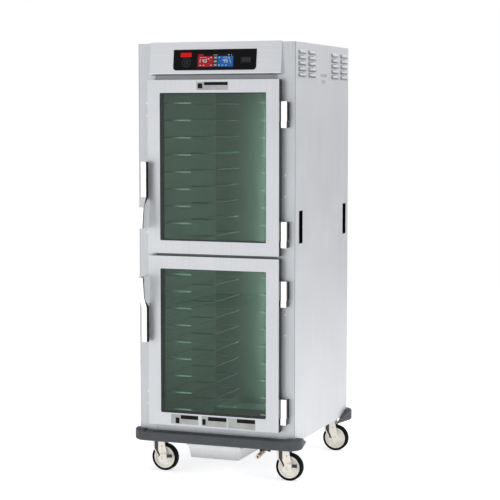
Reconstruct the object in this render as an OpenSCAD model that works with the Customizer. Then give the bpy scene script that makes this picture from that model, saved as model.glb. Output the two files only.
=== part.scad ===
// Holding and proofing cabinet: insulated upright body, two glazed doors, top
// controls, side air panels with wire slides, drip pan, bumpers and casters.
// Every module below front_frame() is drawn with Y = 0 on the plane of the
// door frame, Y growing towards the back, X to the right and Z up from the floor.

/* [Body] */
// Width of the body, outside the side panels
body_w = 735; // [715:1:755]
// Depth of the body, door frame to back panel
body_d = 774; // [760:1:860]
// Height of the underside of the body above the floor
body_bottom = 172; // [170:1:174]
// Height of the top of the roof above the floor
body_top = 1919; // [1915:1:1921]
// Thickness of the outer sheet metal
skin = 1.5; // [1.0:0.1:2.0]

/* [Doors] */
// Width of each door
door_w = 615; // [613:1:616]
// Distance from the door frame to the front face of a closed door
door_front = 42; // [41:1:43]
// Width of the glass opening in each door
window_w = 498; // [440:1:500]
// Width of the metal border above and below each glass opening
window_margin = 56.5; // [50:0.5:70]
// Height of the lower edge of the lower door
lower_door_z = 226; // [224:1:228]
// Height of the lower edge of the upper door
upper_door_z = 996; // [994:1:998]
// Height of the lower door
lower_door_h = 758; // [750:1:760]
// Height of the upper door
upper_door_h = 762; // [750:1:764]
// Distance of the hinge axis from the door's hinge edge
hinge_offset = 18.5; // [18.3:0.1:19.5]
// Distance of the hinge axis in front of the door frame
hinge_front = 22; // [21.8:0.1:22.5]

/* [Header] */
// Height of the lower edge of the header
header_bottom = 1779; // [1775:1:1785]
// Height of the upper edge of the header
header_top = 1923; // [1922:1:1926]
// How far the header stands forward at its lower edge
header_reach = 20; // [18:1:22]

/* [Slides] */
// Number of pan slides on each side
slide_count = 19; // [10:1:19]
// Height from one slide to the next
slide_pitch = 77.2; // [74:0.1:77.5]
// Height of the lowest slide
slide_bottom = 268.6; // [260:0.1:280]
// Free width between the left and the right slides
slide_gap = 332; // [325:1:420]

/* [Casters] */
// Diameter of the caster wheels
wheel_d = 122; // [110:1:124]
// Distance from the swivel axis to the wheel's axle
caster_trail = 31; // [28:1:34]
// Distance between the left and the right swivel axes
caster_span = 596; // [590:1:600]
// Distance of the swivel axes from the front and back of the body
caster_inset = 48; // [46:1:60]

/* [Hidden] */
$fn = 48;

// Reach of the latch levers and of the bumpers beyond the body
latch_reach = 128;
bumper_reach = 42;
// The origin is under the middle of the whole outline
front_y = (latch_reach - bumper_reach - body_d) / 2;

half_w = body_w / 2;
half_door = door_w / 2;
half_window = window_w / 2;

// Cavity
wall_t = 38;
liner_t = 1.5;
// Gap left in folded sheet work where two separate sheets meet
seam = 0.05;
liner_x = half_w - wall_t;
cavity_front = 4;
cavity_back = body_d - 39;
cavity_floor = 212;
cavity_roof = 1765;
air_panel_x = 293;
perforation_pitch = 38;
perforation_r = 4.5;
perforation_columns = 4;
perforation_rows = 38;
perforation_first = [600, 262];

// Door frame behind the doors
stile_inner_x = 286;
frame_t = 2;
middle_rail = [955, 1025];
sill_top = 250;
top_rail_z = 1735;

// Header slope
header_top_reach = 2;
header_curl = 9;
header_face_bottom = header_bottom + header_curl;
header_tilt = atan((header_reach - header_top_reach) / (header_top - header_face_bottom));
panel_mid_z = 1845;
panel_mid_y = header_top_reach
    + (header_reach - header_top_reach) * (header_top - panel_mid_z)
    / (header_top - header_face_bottom);
bezel_half_w = 194;
bezel_low = -46;
bezel_high = 45;
bezel_t = 2;
button_x = -131.5;
button_low = -12;
screen_low_x = -84;
screen_high_x = 94;
screen_z = [-39, 25];
usb_x = [126, 172];
usb_z = [-18.5, 11.5];

// Grips in the side panels
grip_y = [75, 715];
grip_z = 1118;
grip_size = [46, 143];
grip_depth = 26;

// Louvres
louver_y = [36, 172, 506, 646];
louver_rows = 5;
louver_pitch = 25;
louver_top_z = 1888;
louver_len = 104;
louver_h = 19;
louver_out = 6;

// Screws along the edges of the roof
roof_screw_y = [151, 650];

// Compartment above the cavity
ceiling_z = 1792;
blower_y = 470;
blower_r = 128;

// Bumpers
bumper_z = [146, 192];
bumper_corner_x = 336;
bumper_corner_r = 60;
bumper_edge_r = 9;
bumper_taper = 11.6;
bumper_wing = 128;
bumper_step = 5;
bumper_tip = 9;

// Panes, and the black lip that shows round the glass
pane_t = 4;
pane_y = 1.2;
lip_show = 4;
lip_show_z = 0.5;
lip_x = 281;
lip_z = 27;
spacer_w = 2.5;
window_corner_r = 5;

// Hinges, heights of their lower ends measured from each door's lower edge
hinge_h = 113;
knuckle_h = 29;
hinge_x = half_door + hinge_offset;
hinge_half_w = 15;
upper_hinge_z = [upper_door_z + 36.5, upper_door_z + 553.5];
lower_hinge_z = [lower_door_z + 32.5, lower_door_z + 548.5];
pin_r = 4;
running_gap = 0.05;

// Latches: the lever's pivot height and the direction of its free end
latch_x = -half_door - 1;
upper_latch_z = 1150;
lower_latch_z = 850.5;
latch_pivot_y = -90;

// Casters
caster_plate_t = 4;
head_z = 150;
fork_gap = 18;
fork_t = 4;
tyre_w = 30;
tyre_t = 11;
axle_r = 5;

// Drip pan
pan_half_w = 124;
pan_floor_half_w = 113;
pan_z = [84, 145];
pan_y = [-28, 232];
pan_wall = 2;

STEEL = [0.80, 0.81, 0.82];
POLISHED = [0.92, 0.92, 0.93];
DARK = [0.16, 0.17, 0.18];
RUBBER = [0.22, 0.24, 0.26];
BLACK = [0.06, 0.06, 0.06];
CREAM = [0.93, 0.90, 0.85];
GLASS = [0.45, 0.62, 0.52, 0.5];

// ---------------------------------------------------------------- helpers

// Box between two opposite corners
module block(low, high) {
    translate(low) cube(high - low);
}

// Places what is drawn from the door frame's plane into the part's own frame
module front_frame() {
    translate([0, front_y, 0]) children();
}

// What is drawn on the right, and its mirror image on the left
module both_sides() {
    children();
    mirror([1, 0, 0]) children();
}

// Cylinder along X from x0 to x1 at the given y and z
module rod_x(x0, x1, y, z, r) {
    translate([x0, y, z]) rotate([0, 90, 0]) cylinder(h = x1 - x0, r = r);
}

// Cylinder along Y from y0 to y1 at the given x and z
module rod_y(y0, y1, x, z, r) {
    translate([x, y0, z]) rotate([-90, 0, 0]) cylinder(h = y1 - y0, r = r);
}

// Outline in the Y-Z plane, extruded along X from x0 to x1
module profile_x(x0, x1) {
    translate([x0, 0, 0]) rotate([90, 0, 90]) linear_extrude(x1 - x0) children();
}

// Rectangular ring in the X-Z plane between y0 and y1
module ring_y(outer, inner, y0, y1) {
    difference() {
        block([outer[0], y0, outer[2]], [outer[1], y1, outer[3]]);
        block([inner[0], y0 - 1, inner[2]], [inner[1], y1 + 1, inner[3]]);
    }
}

// Local frame on the header's sloping face: X right, Z up the slope, -Y outwards
module on_header() {
    translate([0, -panel_mid_y, panel_mid_z]) rotate([-header_tilt, 0, 0]) children();
}

// ---------------------------------------------------------------- outer body

// Pocket for one grip, cut through a side wall
module grip_pocket(y, depth, play) {
    block([half_w - depth, y - grip_size[0] / 2 - play, grip_z - grip_size[1] / 2 - play],
          [half_w + 1, y + grip_size[0] / 2 + play, grip_z + grip_size[1] / 2 + play]);
}

module side_panel() {
    front_frame() difference() {
        block([half_w - skin, 0, body_bottom], [half_w, body_d, body_top]);
        for (y = grip_y) grip_pocket(y, 10, 0);
        for (y = louver_y, row = [0 : louver_rows - 1])
            translate([half_w - 5, y + 4, louver_top_z - row * louver_pitch - louver_h + 1])
                cube([10, louver_len - 8, 5]);
    }
}

module side_panel_right() {
    color(STEEL) side_panel();
}

module side_panel_left() {
    color(STEEL) mirror([1, 0, 0]) side_panel();
}

module back_panel() {
    color(STEEL) front_frame()
        block([-half_w + skin, body_d - skin, body_bottom], [half_w - skin, body_d, body_top]);
}

module roof_panel() {
    color(STEEL) front_frame()
        block([-half_w + skin, frame_t * 2, body_top - skin],
              [half_w - skin, body_d - skin, body_top]);
}

// Bottom sheet with the two rails that carry the drip pan, and the stop behind it
module base_pan() {
    rail_x = pan_half_w + 2.5;
    lip_z = pan_z[1] - 8;
    color(STEEL) front_frame() {
        difference() {
            block([-half_w + skin, frame_t * 2, body_bottom],
                  [half_w - skin, body_d - skin, body_bottom + 3]);
            translate([215, 15, body_bottom - 1]) cylinder(h = 5, r = 9);
        }
        both_sides() {
            block([rail_x + 9, 6, lip_z], [rail_x + 11, pan_y[1] + 14, body_bottom - seam]);
            block([rail_x - 2, 6, lip_z], [rail_x + 9 - seam, pan_y[1] + 14, lip_z + 2]);
        }
        block([-rail_x + 3, pan_y[1] + 10, body_bottom - 20],
              [rail_x - 3, pan_y[1] + 12, body_bottom - seam]);
    }
}

// Stiles, top rail with the control cut-out, middle rail and sill
module face_frame() {
    y0 = frame_t + seam;
    y1 = frame_t * 2 - seam;
    x = half_w - skin;
    color(STEEL) front_frame() {
        both_sides()
            block([stile_inner_x, 0, body_bottom], [half_w - skin, frame_t, body_top]);
        difference() {
            block([-x, y0, top_rail_z], [x, y1, body_top]);
            block([-170, 0, 1803], [182, 10, 1885]);
        }
        block([-x, y0, middle_rail[0]], [x, y1, middle_rail[1]]);
        block([-x, y0, body_bottom], [x, y1, sill_top]);
    }
}

// Outline of the header in the Y-Z plane, shrunk inwards by t
function header_outline(t) = concat(
    [[0, header_top - t], [-header_top_reach + t, header_top - t]],
    [for (a = [0 : 15 : 90])
        [-(header_reach - header_curl) - (header_curl - t) * cos(a),
         header_face_bottom - (header_curl - t) * sin(a)]],
    [[0, header_bottom + t]]
);

module header_fascia() {
    color(STEEL) front_frame() difference() {
        profile_x(-half_door, half_door) polygon(header_outline(0));
        profile_x(-half_door + skin, half_door - skin)
            translate([0.01, 0]) polygon(header_outline(skin));
        on_header() block([-166, -6, -40], [180, 30, 36]);
    }
}

// Hollow hood of one louvre, open below
module louver_hood(y, z) {
    outer = [[0, 0], [2.5, -0.6], [4.8, -4], [louver_out, -11], [louver_out, -louver_h], [0, -louver_h]];
    inner = [[-1, -4], [1.8, -4], [3.6, -7], [4.8, -12], [4.8, -25], [-1, -25]];
    translate([half_w, y, z]) rotate([-90, 0, 0]) difference() {
        linear_extrude(louver_len) polygon([for (p = outer) [p[0], -p[1]]]);
        translate([0, 0, 1.5]) linear_extrude(louver_len - 3)
            polygon([for (p = inner) [p[0], -p[1]]]);
    }
}

module side_louvers() {
    color(STEEL) front_frame() both_sides()
        for (y = louver_y, row = [0 : louver_rows - 1])
            louver_hood(y, louver_top_z - row * louver_pitch);
}

// Recessed hand grips, open to the outside
module grip_cups() {
    wall = 2;
    lip = 0.8;
    color(BLACK) front_frame() both_sides() for (y = grip_y) difference() {
        block([half_w - grip_depth, y - grip_size[0] / 2, grip_z - grip_size[1] / 2],
              [half_w + lip, y + grip_size[0] / 2, grip_z + grip_size[1] / 2]);
        block([half_w - grip_depth + wall, y - grip_size[0] / 2 + wall, grip_z - grip_size[1] / 2 + wall],
              [half_w + lip + 1, y + grip_size[0] / 2 - wall, grip_z + grip_size[1] / 2 - wall]);
    }
}

// ---------------------------------------------------------------- cavity

module wall_insulation() {
    outer_x = half_w - skin;
    inner_x = liner_x + liner_t;
    color("khaki") front_frame() {
        both_sides() difference() {
            block([inner_x, frame_t * 2, cavity_floor], [outer_x, cavity_back + liner_t, cavity_roof]);
            for (y = grip_y) grip_pocket(y, grip_depth + 0.5, 0.5);
        }
        difference() {
            block([-outer_x, cavity_back + liner_t, body_bottom + 3],
                  [outer_x, body_d - skin, ceiling_z - 2]);
            both_sides() grip_pocket(grip_y[1], grip_depth + 0.5, 0.5);
        }
        difference() {
            block([-outer_x, frame_t * 2, cavity_roof + liner_t],
                  [outer_x, cavity_back + liner_t, ceiling_z - 2]);
            translate([0, blower_y, cavity_roof]) cylinder(h = 40, r = 75);
        }
        difference() {
            block([-outer_x, frame_t * 2, body_bottom + 3],
                  [outer_x, cavity_back + liner_t, cavity_floor - liner_t]);
            translate([215, 15, body_bottom]) cylinder(h = 60, r = 9);
        }
    }
}

// Side walls, back, ceiling with the blower's eye and floor with the drain hole
module liner_walls() {
    x = liner_x + liner_t;
    color(STEEL) front_frame() {
        both_sides() block([liner_x, frame_t * 2, cavity_floor], [x, cavity_back, cavity_roof]);
        block([-x, cavity_back + seam, cavity_floor], [x, cavity_back + liner_t, cavity_roof]);
        difference() {
            block([-x, frame_t * 2, cavity_roof + seam], [x, cavity_back, cavity_roof + liner_t]);
            translate([0, blower_y, cavity_roof - 1]) cylinder(h = 5, r = 75);
        }
        difference() {
            block([-x, frame_t * 2, cavity_floor - liner_t], [x, cavity_back, cavity_floor - seam]);
            translate([215, 15, cavity_floor - 3]) cylinder(h = 5, r = 6);
        }
    }
}

// Perforated sheets that stand off the side walls and lead the air down behind them
module air_panels() {
    color(STEEL) front_frame() both_sides() {
        block([air_panel_x + liner_t, 30, cavity_floor + 1], [liner_x - 0.1, 31.5, cavity_roof - 1]);
        rotate([90, 0, 90]) translate([0, 0, air_panel_x]) linear_extrude(liner_t) difference() {
            translate([30, cavity_floor + 1])
                square([cavity_back - 31, cavity_roof - cavity_floor - 2]);
            for (i = [0 : perforation_columns - 1], j = [0 : perforation_rows - 1])
                translate([perforation_first[0] + i * perforation_pitch,
                           perforation_first[1] + j * perforation_pitch])
                    circle(r = perforation_r, $fn = 24);
        }
    }
}

// One pan slide of welded wire: two long rails joined by cross bars
module wire_slide(z) {
    wire = 3.2;
    x0 = slide_gap / 2 + wire;
    x1 = air_panel_x - wire - 0.2;
    y0 = 118;
    y1 = 712;
    end = wire + seam;
    for (x = [x0, x1]) rod_y(y0 - wire, y1 + wire, x, z, wire);
    for (y = [y0, (y0 + y1) / 2, y1]) rod_x(x0 + end, x1 - end, y, z, wire);
}

module wire_slides() {
    color(POLISHED) front_frame() both_sides()
        for (i = [0 : slide_count - 1]) wire_slide(slide_bottom + i * slide_pitch);
}

module water_pan() {
    color(STEEL) front_frame() difference() {
        block([-130, 300, cavity_floor + 0.2], [130, 640, cavity_floor + 42]);
        block([-127, 303, cavity_floor + 3], [127, 637, cavity_floor + 50]);
    }
}

// ---------------------------------------------------------------- controls and air system

// Half-round bottom corners with square top corners
module bezel_outline() {
    corner = 15;
    union() {
        translate([-bezel_half_w, bezel_low + corner])
            square([bezel_half_w * 2, bezel_high - bezel_low - corner]);
        translate([-bezel_half_w + corner, bezel_low]) square([(bezel_half_w - corner) * 2, corner]);
        for (s = [-1, 1]) translate([s * (bezel_half_w - corner), bezel_low + corner]) circle(r = corner);
    }
}

module control_bezel() {
    color(BLACK) front_frame() on_header() difference() {
        union() {
            translate([0, 0, 0]) rotate([90, 0, 0]) linear_extrude(bezel_t) bezel_outline();
            translate([button_x, -bezel_t, button_low]) rotate([90, 0, 0]) cylinder(h = 1.2, r = 22);
            block([usb_x[0], -bezel_t, usb_z[0]], [usb_x[1], 5, usb_z[1]]);
            block([button_x - 18, -bezel_t, button_low - 18], [button_x + 18, 10, button_low + 18]);
        }
        translate([button_x, 30, button_low]) rotate([90, 0, 0]) cylinder(h = 60, r = 14.3);
        block([screen_low_x - 0.2, -5, screen_z[0] - 0.2], [screen_high_x + 0.2, 5, screen_z[1] + 0.2]);
        block([usb_x[0] + 3, -5, usb_z[0] + 3], [usb_x[1] - 3, 1, usb_z[1] - 3]);
    }
}

module display_module() {
    color(DARK) front_frame() on_header() {
        block([screen_low_x, -bezel_t - 0.6, screen_z[0]], [screen_high_x, 1, screen_z[1]]);
        block([screen_low_x + 4, 1, screen_z[0] + 3], [screen_high_x - 4, 12, screen_z[1] - 3]);
    }
}

module power_button() {
    color(DARK) front_frame() on_header()
        translate([button_x, 6, button_low]) rotate([90, 0, 0]) cylinder(h = 9.5, r = 14);
}

// Flap over the service port, with its hinge barrel on the left
module usb_cover() {
    color(DARK) front_frame() on_header() {
        block([usb_x[0] - 3, -bezel_t - 2.7, usb_z[0] + 1], [usb_x[1] - 1, -bezel_t - 0.5, usb_z[1] - 1]);
        translate([usb_x[0] - 3, -bezel_t - 1.9, usb_z[0] + 1])
            cylinder(h = usb_z[1] - usb_z[0] - 2, r = 1.4);
    }
}

module control_electronics() {
    color("darkgreen") front_frame() {
        block([-150, 45, ceiling_z + 12], [150, 47, ceiling_z + 110]);
        for (x = [-120 : 48 : 120]) block([x, 47, ceiling_z + 30], [x + 26, 62, ceiling_z + 66]);
        block([-330, 90, ceiling_z + 1], [-190, 250, ceiling_z + 82]);
        block([210, 90, ceiling_z + 1], [330, 210, ceiling_z + 92]);
        block([150, 60, ceiling_z + 12], [200, 64, ceiling_z + 70]);
    }
}

// Round blower case with an open eye below, four outlets and the motor on top
module blower_housing() {
    color(STEEL) front_frame() translate([0, blower_y, ceiling_z]) {
        difference() {
            cylinder(h = 78, r = blower_r);
            translate([0, 0, 2]) cylinder(h = 74, r = blower_r - 2);
            translate([0, 0, -1]) cylinder(h = 10, r = 70);
            translate([0, 0, 70]) cylinder(h = 20, r = 8);
            for (a = [45 : 90 : 315]) rotate([0, 0, a]) block([90, -35, 12], [160, 35, 66]);
        }
        difference() {
            translate([0, 0, 78]) cylinder(h = 42, r = 45);
            translate([0, 0, 70]) cylinder(h = 20, r = 8);
        }
    }
}

module blower_wheel() {
    blades = 24;
    color(DARK) front_frame() translate([0, blower_y, ceiling_z]) {
        translate([0, 0, 60]) cylinder(h = 3, r = 92);
        translate([0, 0, 8]) difference() {
            cylinder(h = 3, r = 92);
            translate([0, 0, -1]) cylinder(h = 5, r = 72);
        }
        for (i = [0 : blades - 1]) rotate([0, 0, i * 360 / blades])
            translate([74, -1, 10]) cube([17, 2, 51]);
        translate([0, 0, 40]) cylinder(h = 36, r = 6);
    }
}

module heating_element() {
    color("dimgray") front_frame() translate([0, blower_y, ceiling_z]) {
        for (z = [22, 44]) translate([0, 0, z]) rotate_extrude() translate([108, 0]) circle(r = 4);
        translate([108, 0, 22]) cylinder(h = 22, r = 4);
    }
}

// ---------------------------------------------------------------- bumpers

// Cross-section of the bumper, from its centreline outwards, with rounded edges
module bumper_section(top) {
    low = bumper_z[0];
    high = bumper_z[1] + top;
    edge = bumper_corner_r - bumper_edge_r;
    union() {
        translate([0, low]) square([edge, high - low]);
        translate([0, low + bumper_edge_r]) square([bumper_corner_r, high - low - 2 * bumper_edge_r]);
        for (z = [low + bumper_edge_r, high - bumper_edge_r]) translate([edge, z]) circle(r = bumper_edge_r);
    }
}

// Bumper across one end of the body: straight bar, two corners, two tapering wings
module bumper() {
    corner_y = bumper_corner_r - bumper_reach;
    difference() {
        union() {
            translate([-bumper_corner_x - 1, corner_y, 0]) rotate([90, 0, 90])
                linear_extrude(bumper_corner_x * 2 + 2) mirror([1, 0, 0]) bumper_section(0);
            both_sides() translate([bumper_corner_x, corner_y, 0]) {
                rotate([0, 0, -90]) rotate_extrude(angle = 90 + bumper_taper) bumper_section(bumper_step);
                rotate([0, 0, bumper_taper]) rotate([90, 0, 0]) translate([0, 0, -bumper_wing])
                    linear_extrude(bumper_wing) bumper_section(bumper_step);
            }
        }
        block([-half_w, 0, 0], [half_w, 400, 400]);
        both_sides() profile_x(half_w - 60, half_w + 80) polygon([
            [corner_y + 6, bumper_z[1] + bumper_step + 0.5],
            [corner_y + bumper_wing + 4, bumper_z[0] + bumper_tip],
            [corner_y + bumper_wing + 80, bumper_z[0] + bumper_tip],
            [corner_y + bumper_wing + 80, 260], [corner_y + 6, 260]
        ]);
    }
}

module bumpers() {
    color(RUBBER) front_frame() {
        bumper();
        translate([0, body_d, 0]) mirror([0, 1, 0]) bumper();
    }
}

// ---------------------------------------------------------------- hinges and latches

// Fixed half of one hinge: plate, lower knuckle and pin
module hinge_frame_leaf(z) {
    translate([hinge_x, 0, z]) {
        block([-hinge_half_w, -4, 0], [hinge_half_w, 0, hinge_h]);
        block([-hinge_half_w + 1, -hinge_front - 7, 0], [hinge_half_w - 4, -4, knuckle_h - 0.3]);
        translate([0, -hinge_front, 0]) cylinder(h = hinge_h - 4, r = pin_r);
    }
}

// Keeper block on the left stile beside a latch bolt
module latch_keeper(z) {
    block([-360, -2, z - 30], [-336, 0, z + 30]);
    block([-356, -20, z - 20], [-339, -2, z + 20]);
}

module frame_hardware() {
    color(POLISHED) front_frame() {
        for (z = concat(upper_hinge_z, lower_hinge_z)) hinge_frame_leaf(z);
        for (z = [upper_latch_z + 6, lower_latch_z - 6]) latch_keeper(z);
    }
}

// Moving half of one hinge: knuckle block round the pin and strap on the door's edge
module hinge_door_leaf(z) {
    r = 3;
    low = knuckle_h + 0.3;
    translate([hinge_x, -hinge_front, z]) difference() {
        union() {
            block([-hinge_half_w + r, -8, low], [hinge_half_w - r, 6, hinge_h]);
            block([-hinge_half_w, -8 + r, low], [hinge_half_w, 6, hinge_h]);
            for (s = [-1, 1]) translate([s * (hinge_half_w - r), -8 + r, low])
                cylinder(h = hinge_h - low, r = r);
            block([-hinge_offset, -7, low], [-hinge_half_w + 1, 4, hinge_h]);
            block([-hinge_offset, -14, low], [-hinge_offset + 2, 8, hinge_h]);
            block([-hinge_offset - 0.4, -14, low], [-hinge_offset + 1, 8, hinge_h]);
        }
        translate([0, 0, low - 1]) cylinder(h = hinge_h - 3 - low + 1, r = pin_r + running_gap);
    }
}

module upper_hinge_leaves() {
    color(POLISHED) front_frame() for (z = upper_hinge_z) hinge_door_leaf(z);
}

module lower_hinge_leaves() {
    color(POLISHED) front_frame() for (z = lower_hinge_z) hinge_door_leaf(z);
}

// Draws a latch piece for the upper door, or turned upside down for the lower one
module at_latch(z, up) {
    translate([latch_x, 0, z]) {
        if (up) children();
        else mirror([0, 0, 1]) children();
    }
}

// Latch case on the door's edge, round-topped, with the slot and pin for the lever
module latch_base() {
    half = 12;
    low = -42;
    top = 87;
    side = [[-door_front, low], [-104, low], [-104, 38], [-86, 70], [-66, top], [-door_front, top]];
    color(STEEL) difference() {
        union() {
            intersection() {
                profile_x(-16.5, 7.5) polygon(side);
                union() {
                    block([-16.5, -120, low], [7.5, 0, top - half]);
                    rod_y(-120, 0, -4.5, top - half, half);
                }
            }
            block([-16.5, -door_front, low], [0.7, -6, top - half]);
        }
        block([-9.5, -110, -60], [0.5, -74, 100]);
        rod_x(-22, -0.5, -14, 6, 5.2);
    }
    color(STEEL) rod_x(-16.5, 7.5, latch_pivot_y, 0, 3);
}

// Lever: straight grip above, swept out over the case below, with a lug on the pin
module latch_lever() {
    outline = [
        [-87, 250], [-61, 250], [-61, 97], [-64, 92], [-106, 58],
        [-119.5, -41], [-128, -41], [-114, 50], [-87, 95]
    ];
    color(POLISHED) {
        difference() {
            profile_x(-12, 12) polygon(outline);
            profile_x(-9, 9) polygon([[-83, 246], [-50, 246], [-50, 100], [-64, 97], [-83, 108]]);
        }
        difference() {
            union() {
                block([-9, -116, -8], [0, latch_pivot_y, 8]);
                rod_x(-9, 0, latch_pivot_y, 0, 8);
            }
            rod_x(-10, 1, latch_pivot_y, 0, 3 + running_gap);
        }
    }
}

// Latch bolt that slides sideways out of the case towards the strike
module latch_bolt() {
    color(POLISHED) {
        rod_x(-29, -10, -14, 6, 5);
    }
}

module upper_latch_base() {
    front_frame() at_latch(upper_latch_z, true) latch_base();
}

module upper_latch_lever() {
    front_frame() at_latch(upper_latch_z, true) latch_lever();
}

module upper_latch_bolt() {
    front_frame() at_latch(upper_latch_z, true) latch_bolt();
}

module lower_latch_base() {
    front_frame() at_latch(lower_latch_z, false) latch_base();
}

module lower_latch_lever() {
    front_frame() at_latch(lower_latch_z, false) latch_lever();
}

module lower_latch_bolt() {
    front_frame() at_latch(lower_latch_z, false) latch_bolt();
}

// ---------------------------------------------------------------- doors

// Opening for the glass with small rounded corners
module window_cut(low, high) {
    r = window_corner_r;
    y0 = -door_front - 1;
    y1 = -door_front + 9;
    block([-half_window, y0, low + r], [half_window, y1, high - r]);
    block([-half_window + r, y0, low], [half_window - r, y1, high]);
    for (x = [-half_window + r, half_window - r], z = [low + r, high - r]) rod_y(y0, y1, x, z, r);
}

// Stainless face pan of a door, with its opening for the glass
module door_face(z, h) {
    color(STEEL) front_frame() difference() {
        block([-half_door, -door_front, z], [half_door, -door_front + 2.5, z + h]);
        block([-half_door + skin, -door_front + skin, z + skin],
              [half_door - skin, -door_front + 20, z + h - skin]);
        window_cut(z + window_margin, z + h - window_margin);
    }
}

// Black insulating frame behind the face, with a rebate for the outer pane and an inner
// lip that reaches into the door opening
module door_core(z, h) {
    x = half_door - 2;
    edge_x = half_door - 0.5;
    open_x = half_window - lip_show;
    m = window_margin + lip_show_z;
    color(BLACK) front_frame() difference() {
        union() {
            block([-x, -door_front + skin, z + 2], [x, -door_front + 3, z + h - 2]);
            block([-edge_x, -door_front + 3, z + 0.5], [edge_x, -6, z + h - 0.5]);
            block([-lip_x, -20, z + lip_z], [lip_x, -3, z + h - lip_z]);
        }
        block([-open_x, -60, z + m], [open_x, 10, z + h - m]);
        block([-half_window - 1, -60, z + window_margin - 1],
              [half_window + 1, -door_front + pane_y + pane_t + 0.1, z + h - window_margin + 1]);
    }
}

// Outer pane in the rebate and inner pane inside the frame
module door_glass(z, h) {
    x = half_window - 0.5;
    inner_x = half_window - lip_show - spacer_w - 0.3;
    m = window_margin + 0.5;
    inner_m = window_margin + lip_show_z + spacer_w + 0.3;
    y = -door_front + pane_y;
    color(GLASS) front_frame() {
        block([-x, y, z + m], [x, y + pane_t, z + h - m]);
        block([-inner_x, -16, z + inner_m], [inner_x, -16 + pane_t, z + h - inner_m]);
    }
}

// Gasket round the door and the ring that holds the inner pane
module door_seals(z, h) {
    gasket = [half_door - 8, half_door - 22];
    x = half_window - lip_show - 0.1;
    m = window_margin + lip_show_z + 0.1;
    color(BLACK) front_frame() {
        ring_y([-gasket[0], gasket[0], z + 8, z + h - 8],
               [-gasket[1], gasket[1], z + 22, z + h - 22], -5.95, -0.4);
        difference() {
            ring_y([-x, x, z + m, z + h - m],
                   [-x + spacer_w + 1.5, x - spacer_w - 1.5,
                    z + m + spacer_w + 1.5, z + h - m - spacer_w - 1.5], -19, -9);
            block([-x + spacer_w, -16.1, z + m + spacer_w],
                  [x - spacer_w, -16 + pane_t + 0.1, z + h - m - spacer_w]);
        }
    }
}

module upper_door_face() { door_face(upper_door_z, upper_door_h); }
module upper_door_core() { door_core(upper_door_z, upper_door_h); }
module upper_door_glass() { door_glass(upper_door_z, upper_door_h); }
module upper_door_seals() { door_seals(upper_door_z, upper_door_h); }
module lower_door_face() { door_face(lower_door_z, lower_door_h); }
module lower_door_core() { door_core(lower_door_z, lower_door_h); }
module lower_door_glass() { door_glass(lower_door_z, lower_door_h); }
module lower_door_seals() { door_seals(lower_door_z, lower_door_h); }

// ---------------------------------------------------------------- casters

// Positions of the four swivel axes
function caster_x(side) = side * caster_span / 2;
function caster_y(back) = back ? body_d - caster_inset : caster_inset;

module at_caster(side, back) {
    front_frame() translate([caster_x(side), caster_y(back), 0]) children();
}

// Mounting plate, four bolts and upper bearing race of every caster
module caster_plates() {
    color(POLISHED) for (side = [-1, 1], back = [false, true]) at_caster(side, back) {
        block([-46, -42, body_bottom - caster_plate_t], [46, 42, body_bottom]);
        translate([0, 0, head_z + 4.3]) cylinder(h = body_bottom - head_z - 8, r = 30);
        translate([0, 0, head_z - 12]) cylinder(h = 20, r = 7);
        for (x = [-36, 36], y = [-32, 32]) translate([x, y, body_bottom - caster_plate_t - 5])
            cylinder(h = 5, r = 7, $fn = 6);
    }
}

// One leg of the fork, seen from its outer side, with a sunken strip along it
module fork_leg() {
    axle = [caster_trail, wheel_d / 2];
    rotate([90, 0, 0]) {
        translate([0, 0, fork_gap + 1.5]) linear_extrude(fork_t - 1.5) difference() {
            union() {
                polygon([[4, head_z], [29, head_z], [axle[0] + 13, axle[1] + 26],
                         [axle[0] + 13, axle[1]], [axle[0] - 13, axle[1]], [4, axle[1] + 30]]);
                polygon([[-21, head_z], [-14, head_z], [-14, axle[1] + 40], [4, axle[1] + 8],
                         [4, axle[1]], [-21, axle[1] + 44]]);
                translate(axle) circle(r = 13);
            }
            translate([axle[0] - 9, 112]) circle(r = 3);
        }
        translate([0, 0, fork_gap]) linear_extrude(1.6) difference() {
            union() {
                polygon([[-21, head_z], [29, head_z], [axle[0] + 13, axle[1] + 26],
                         [axle[0] + 13, axle[1]], [axle[0] - 13, axle[1]], [4, axle[1]],
                         [-21, axle[1] + 44]]);
                translate(axle) circle(r = 13);
            }
            translate([axle[0] - 9, 112]) circle(r = 3);
        }
    }
}

// Swivel fork: head, two legs and the axle bolt with its nuts
module caster_fork() {
    axle_z = wheel_d / 2;
    color(CREAM) {
        difference() {
            union() {
                translate([0, 0, head_z - 6]) cylinder(h = 10, r = 31);
                block([-21, -fork_gap - fork_t, head_z - 4], [29, fork_gap + fork_t, head_z]);
            }
            translate([0, 0, head_z - 20]) cylinder(h = 40, r = 7.3);
        }
        fork_leg();
        mirror([0, 1, 0]) fork_leg();
        rod_y(-fork_gap - fork_t, fork_gap + fork_t, caster_trail, axle_z, axle_r);
        for (s = [-1, 1]) translate([caster_trail, s * (fork_gap + fork_t + 3), axle_z])
            rotate([90, 0, 0]) cylinder(h = 6, r = 8, center = true, $fn = 6);
    }
}

// Wheel centre with a bearing boss and sunken faces
module wheel_hub() {
    r = wheel_d / 2 - tyre_t;
    color(CREAM) translate([caster_trail, 0, wheel_d / 2]) rotate([90, 0, 0]) difference() {
        union() {
            cylinder(h = 10, r = r, center = true);
            cylinder(h = 34, r = 15, center = true);
            difference() {
                cylinder(h = tyre_w - 4, r = r, center = true);
                cylinder(h = tyre_w, r = r - 6, center = true);
            }
            difference() {
                cylinder(h = 16, r = 34, center = true);
                cylinder(h = 18, r = 29, center = true);
            }
        }
        cylinder(h = 60, r = axle_r + running_gap, center = true);
    }
}

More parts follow.
